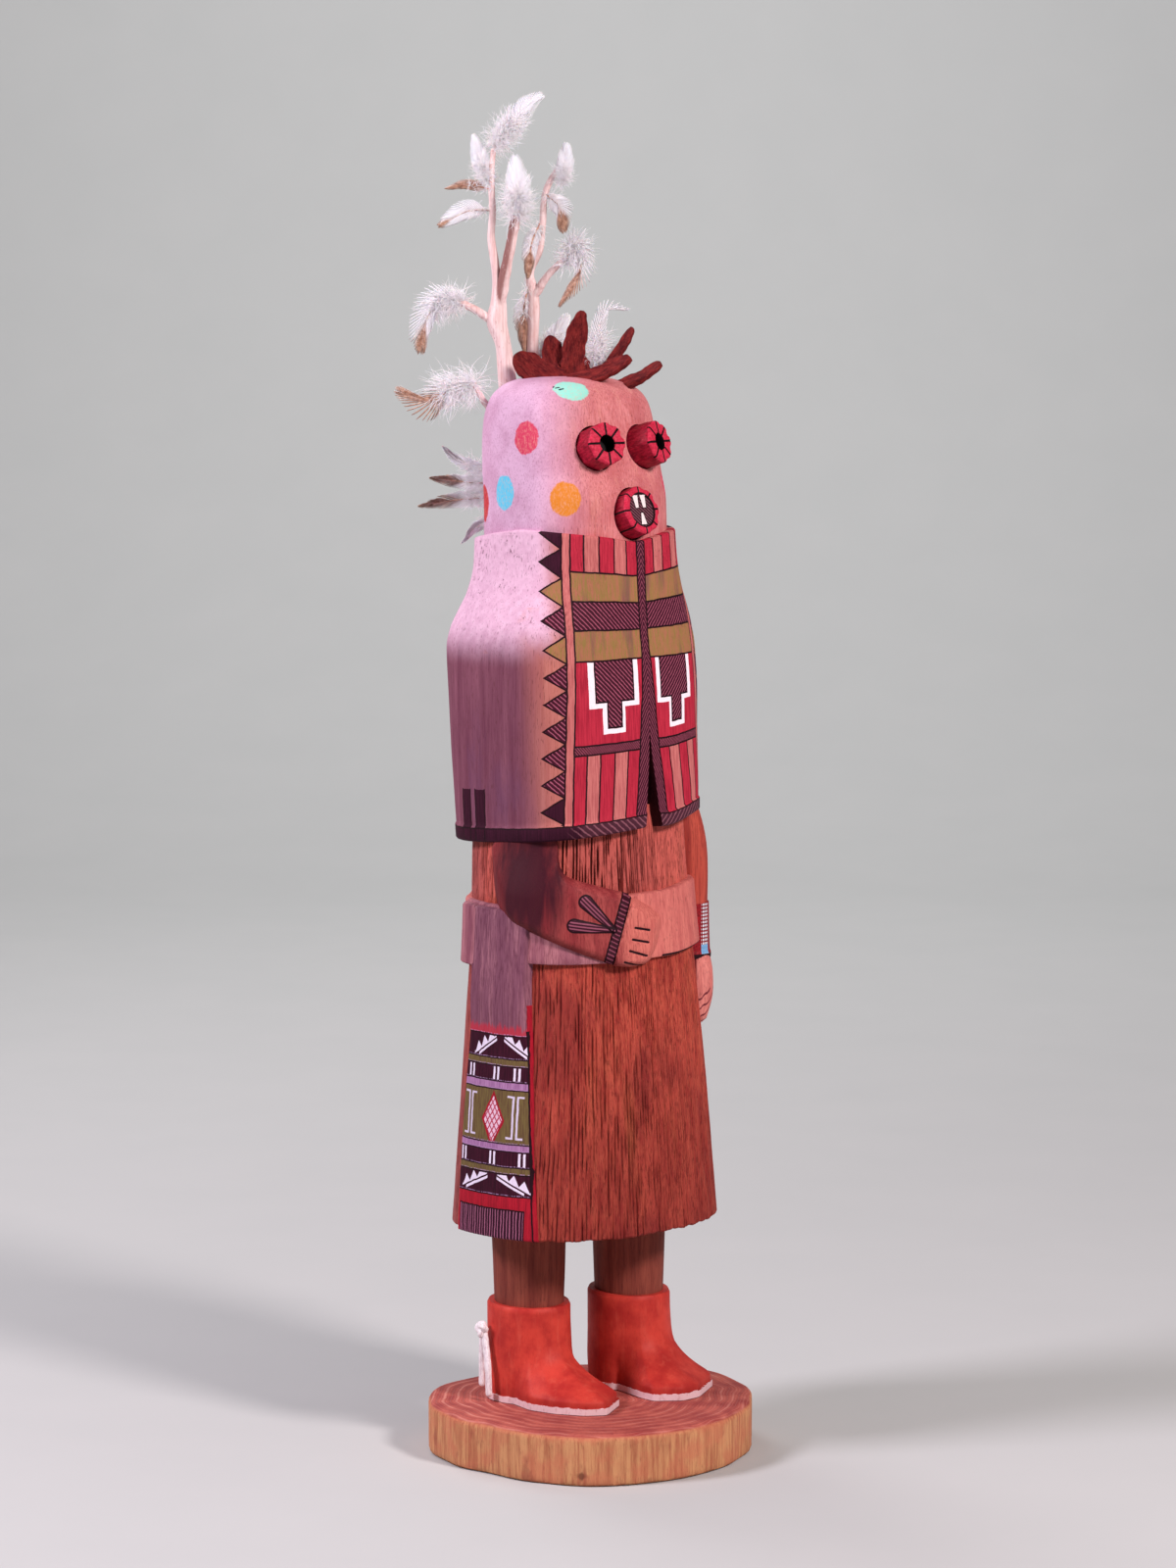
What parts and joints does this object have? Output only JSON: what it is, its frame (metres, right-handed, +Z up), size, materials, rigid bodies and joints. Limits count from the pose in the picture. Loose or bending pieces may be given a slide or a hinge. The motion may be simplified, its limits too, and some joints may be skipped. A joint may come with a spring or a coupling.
{
  "type": "kachina doll",
  "caption": "Carved and painted wooden doll in a long robe and patterned cape, with tube eyes and a feathered twig headdress, standing on a slice of log.",
  "frame": {"origin": "middle of the log slice's underside", "axes": "+Z up, the doll faces -Y, its right hand is towards -X"},
  "size_m": [0.0904, 0.0969, 0.375],
  "materials": {
    "base_wood": "bare sawn log slice",
    "figure_wood": "carved cottonwood, stained, burned and painted",
    "tube_paint": "red painted wood with black lines",
    "petal_wood": "rough split wood, red-brown",
    "twig_wood": "peeled twig, matt",
    "feather": "down and small vanes, white with brown tips",
    "thong": "soft white leather thong"
  },
  "bodies": {
    "root": {"base": "base_wood", "figure": "figure_wood", "eye_right": "tube_paint", "eye_left": "tube_paint", "mouth": "tube_paint", "petal_1": "petal_wood", "petal_2": "petal_wood", "petal_3": "petal_wood", "petal_4": "petal_wood", "petal_5": "petal_wood", "petal_6": "petal_wood", "petal_7": "petal_wood", "twig_main": "twig_wood", "twig_second": "twig_wood", "twig_stub": "twig_wood", "feather_top": "feather", "feather_top_left": "feather", "feather_upper_left": "feather", "feather_pointed": "feather", "feather_centre": "feather", "feather_right_tip": "feather", "feather_right": "feather", "feather_hanging": "feather", "feather_fork": "feather", "feather_middle": "feather", "feather_rear": "feather", "feather_crown": "feather", "feather_branch": "feather", "feather_stub": "feather", "feather_nape_1": "feather", "feather_nape_2": "feather", "feather_nape_3": "feather", "feather_nape_4": "feather", "feather_nape_5": "feather", "feather_nape_6": "feather", "feather_nape_7": "feather", "boot_tie_right": "thong", "boot_tie_left": "thong"}
  },
  "joints": []
}
